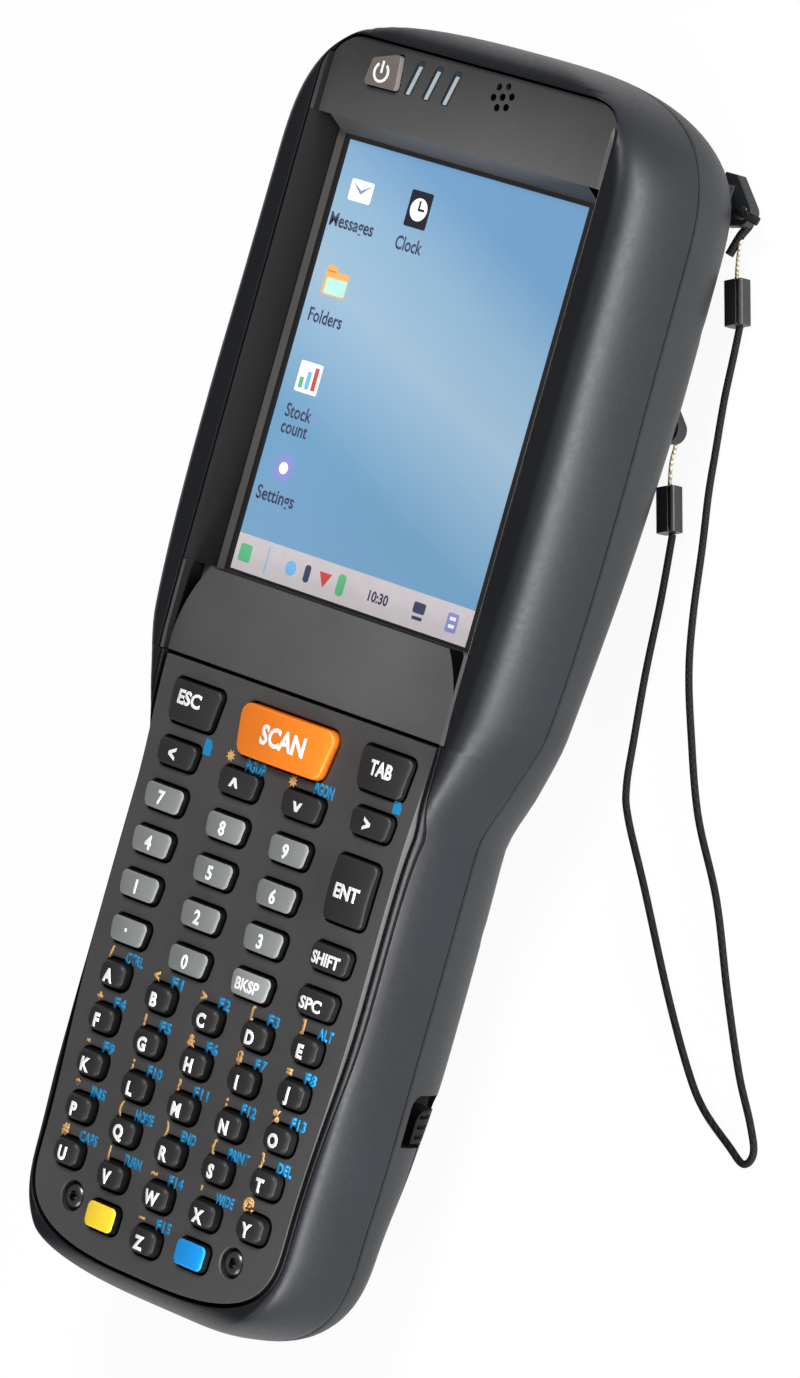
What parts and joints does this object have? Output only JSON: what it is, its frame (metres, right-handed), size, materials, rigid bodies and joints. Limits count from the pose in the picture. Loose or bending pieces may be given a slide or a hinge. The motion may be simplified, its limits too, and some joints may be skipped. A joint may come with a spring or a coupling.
{
  "type": "portable barcode data terminal",
  "caption": "Handheld barcode terminal with a waisted grip, deep-set touch display, full keypad of travelling keys, clip-in battery pack and a wrist tether cord.",
  "frame": {"origin": "on the resting plane, under the middle of the body without its tether", "axes": "+X to the right across the keypad, +Y from the base to the display head, +Z out of the display and the keypad"},
  "size_m": [0.1165, 0.1904, 0.0335],
  "materials": {
    "shell_charcoal": "satin",
    "shell_back": "satin",
    "seal_rubber": "matt",
    "bezel_grey": "satin",
    "plate_grey": "satin",
    "window_glass": "clear",
    "display_panel": "lit",
    "board_green": "lacquered",
    "membrane_rubber": "matt",
    "light_pipe_grey": "smooth",
    "speaker_black": "matt",
    "engine_grey": "satin",
    "scan_red": "polished",
    "pack_black": "fine texture",
    "latch_black": "satin",
    "contact_brass": "plated",
    "dock_black": "satin",
    "screw_steel": "plated",
    "anchor_grey": "satin",
    "loop_fibre": "waxed",
    "clip_black": "satin",
    "cord_black": "braided",
    "key_power": "matt",
    "key_black": "satin",
    "key_orange": "satin",
    "key_grey": "satin",
    "key_silver": "satin",
    "key_yellow": "satin",
    "key_blue": "satin"
  },
  "bodies": {
    "terminal": {"front_housing": "shell_charcoal", "rear_housing": "shell_back", "housing_seal": "seal_rubber", "display_bezel": "bezel_grey", "keypad_bezel": "plate_grey", "touch_window": "window_glass", "display_gasket": "seal_rubber", "display_module": "display_panel", "main_board": "board_green", "keypad_board": "board_green", "keypad_membrane": "membrane_rubber", "light_pipes": "light_pipe_grey", "speaker": "speaker_black", "scan_engine": "engine_grey", "scan_window": "scan_red", "battery_pack": "pack_black", "battery_contacts": "contact_brass", "dock_connector": "dock_black", "keypad_screws": "screw_steel", "rear_screws": "screw_steel", "upper_anchor": "anchor_grey", "lower_anchor": "anchor_grey", "upper_cord_loop": "loop_fibre", "lower_cord_loop": "loop_fibre", "upper_cord_clip": "clip_black", "lower_cord_clip": "clip_black", "tether_cord": "cord_black"},
    "latch": {"battery_latch": "latch_black"},
    "power_key_cap": {"power_key": "key_power"},
    "escape_key_cap": {"escape_key": "key_black"},
    "scan_key_cap": {"scan_key": "key_orange"},
    "tab_key_cap": {"tab_key": "key_black"},
    "left_key_cap": {"left_key": "key_black"},
    "up_key_cap": {"up_key": "key_black"},
    "down_key_cap": {"down_key": "key_black"},
    "right_key_cap": {"right_key": "key_black"},
    "key_0_cap": {"key_0": "key_grey"},
    "key_1_cap": {"key_1": "key_grey"},
    "key_2_cap": {"key_2": "key_grey"},
    "key_3_cap": {"key_3": "key_grey"},
    "key_4_cap": {"key_4": "key_grey"},
    "key_5_cap": {"key_5": "key_grey"},
    "key_6_cap": {"key_6": "key_grey"},
    "key_7_cap": {"key_7": "key_grey"},
    "key_8_cap": {"key_8": "key_grey"},
    "key_9_cap": {"key_9": "key_grey"},
    "point_key_cap": {"point_key": "key_grey"},
    "enter_key_cap": {"enter_key": "key_black"},
    "shift_key_cap": {"shift_key": "key_black"},
    "backspace_key_cap": {"backspace_key": "key_silver"},
    "space_key_cap": {"space_key": "key_black"},
    "yellow_key_cap": {"yellow_key": "key_yellow"},
    "blue_key_cap": {"blue_key": "key_blue"},
    "letters_a_to_e_cap": {"letters_a_to_e": "key_black"},
    "letters_f_to_j_cap": {"letters_f_to_j": "key_black"},
    "letters_k_to_o_cap": {"letters_k_to_o": "key_black"},
    "letters_p_to_t_cap": {"letters_p_to_t": "key_black"},
    "letters_u_to_y_cap": {"letters_u_to_y": "key_black"},
    "letter_z_cap": {"letter_z": "key_black"}
  },
  "joints": [
    {"name": "latch_slide", "type": "slide", "parent": "terminal", "child": "latch", "axis": [0, 1, 0], "range_m": [0, 0.002]},
    {"name": "power_key_press", "type": "slide", "parent": "terminal", "child": "power_key_cap", "axis": [0, 0, 1], "range_m": [-0.0006, 0], "stiffness_N_per_m": 400},
    {"name": "escape_key_press", "type": "slide", "parent": "terminal", "child": "escape_key_cap", "axis": [0, 0, 1], "range_m": [-0.0006, 0], "stiffness_N_per_m": 400},
    {"name": "scan_key_press", "type": "slide", "parent": "terminal", "child": "scan_key_cap", "axis": [0, 0, 1], "range_m": [-0.0006, 0], "stiffness_N_per_m": 400},
    {"name": "tab_key_press", "type": "slide", "parent": "terminal", "child": "tab_key_cap", "axis": [0, 0, 1], "range_m": [-0.0006, 0], "stiffness_N_per_m": 400},
    {"name": "left_key_press", "type": "slide", "parent": "terminal", "child": "left_key_cap", "axis": [0, 0, 1], "range_m": [-0.0006, 0], "stiffness_N_per_m": 400},
    {"name": "up_key_press", "type": "slide", "parent": "terminal", "child": "up_key_cap", "axis": [0, 0, 1], "range_m": [-0.0006, 0], "stiffness_N_per_m": 400},
    {"name": "down_key_press", "type": "slide", "parent": "terminal", "child": "down_key_cap", "axis": [0, 0, 1], "range_m": [-0.0006, 0], "stiffness_N_per_m": 400},
    {"name": "right_key_press", "type": "slide", "parent": "terminal", "child": "right_key_cap", "axis": [0, 0, 1], "range_m": [-0.0006, 0], "stiffness_N_per_m": 400},
    {"name": "key_0_press", "type": "slide", "parent": "terminal", "child": "key_0_cap", "axis": [0, 0, 1], "range_m": [-0.0006, 0], "stiffness_N_per_m": 400},
    {"name": "key_1_press", "type": "slide", "parent": "terminal", "child": "key_1_cap", "axis": [0, 0, 1], "range_m": [-0.0006, 0], "stiffness_N_per_m": 400},
    {"name": "key_2_press", "type": "slide", "parent": "terminal", "child": "key_2_cap", "axis": [0, 0, 1], "range_m": [-0.0006, 0], "stiffness_N_per_m": 400},
    {"name": "key_3_press", "type": "slide", "parent": "terminal", "child": "key_3_cap", "axis": [0, 0, 1], "range_m": [-0.0006, 0], "stiffness_N_per_m": 400},
    {"name": "key_4_press", "type": "slide", "parent": "terminal", "child": "key_4_cap", "axis": [0, 0, 1], "range_m": [-0.0006, 0], "stiffness_N_per_m": 400},
    {"name": "key_5_press", "type": "slide", "parent": "terminal", "child": "key_5_cap", "axis": [0, 0, 1], "range_m": [-0.0006, 0], "stiffness_N_per_m": 400},
    {"name": "key_6_press", "type": "slide", "parent": "terminal", "child": "key_6_cap", "axis": [0, 0, 1], "range_m": [-0.0006, 0], "stiffness_N_per_m": 400},
    {"name": "key_7_press", "type": "slide", "parent": "terminal", "child": "key_7_cap", "axis": [0, 0, 1], "range_m": [-0.0006, 0], "stiffness_N_per_m": 400},
    {"name": "key_8_press", "type": "slide", "parent": "terminal", "child": "key_8_cap", "axis": [0, 0, 1], "range_m": [-0.0006, 0], "stiffness_N_per_m": 400},
    {"name": "key_9_press", "type": "slide", "parent": "terminal", "child": "key_9_cap", "axis": [0, 0, 1], "range_m": [-0.0006, 0], "stiffness_N_per_m": 400},
    {"name": "point_key_press", "type": "slide", "parent": "terminal", "child": "point_key_cap", "axis": [0, 0, 1], "range_m": [-0.0006, 0], "stiffness_N_per_m": 400},
    {"name": "enter_key_press", "type": "slide", "parent": "terminal", "child": "enter_key_cap", "axis": [0, 0, 1], "range_m": [-0.0006, 0], "stiffness_N_per_m": 400},
    {"name": "shift_key_press", "type": "slide", "parent": "terminal", "child": "shift_key_cap", "axis": [0, 0, 1], "range_m": [-0.0006, 0], "stiffness_N_per_m": 400},
    {"name": "backspace_key_press", "type": "slide", "parent": "terminal", "child": "backspace_key_cap", "axis": [0, 0, 1], "range_m": [-0.0006, 0], "stiffness_N_per_m": 400},
    {"name": "space_key_press", "type": "slide", "parent": "terminal", "child": "space_key_cap", "axis": [0, 0, 1], "range_m": [-0.0006, 0], "stiffness_N_per_m": 400},
    {"name": "yellow_key_press", "type": "slide", "parent": "terminal", "child": "yellow_key_cap", "axis": [0, 0, 1], "range_m": [-0.0006, 0], "stiffness_N_per_m": 400},
    {"name": "blue_key_press", "type": "slide", "parent": "terminal", "child": "blue_key_cap", "axis": [0, 0, 1], "range_m": [-0.0006, 0], "stiffness_N_per_m": 400},
    {"name": "letters_a_to_e_press", "type": "slide", "parent": "terminal", "child": "letters_a_to_e_cap", "axis": [0, 0, 1], "range_m": [-0.0006, 0], "stiffness_N_per_m": 400},
    {"name": "letters_f_to_j_press", "type": "slide", "parent": "terminal", "child": "letters_f_to_j_cap", "axis": [0, 0, 1], "range_m": [-0.0006, 0], "stiffness_N_per_m": 400},
    {"name": "letters_k_to_o_press", "type": "slide", "parent": "terminal", "child": "letters_k_to_o_cap", "axis": [0, 0, 1], "range_m": [-0.0006, 0], "stiffness_N_per_m": 400},
    {"name": "letters_p_to_t_press", "type": "slide", "parent": "terminal", "child": "letters_p_to_t_cap", "axis": [0, 0, 1], "range_m": [-0.0006, 0], "stiffness_N_per_m": 400},
    {"name": "letters_u_to_y_press", "type": "slide", "parent": "terminal", "child": "letters_u_to_y_cap", "axis": [0, 0, 1], "range_m": [-0.0006, 0], "stiffness_N_per_m": 400},
    {"name": "letter_z_press", "type": "slide", "parent": "terminal", "child": "letter_z_cap", "axis": [0, 0, 1], "range_m": [-0.0006, 0], "stiffness_N_per_m": 400}
  ]
}
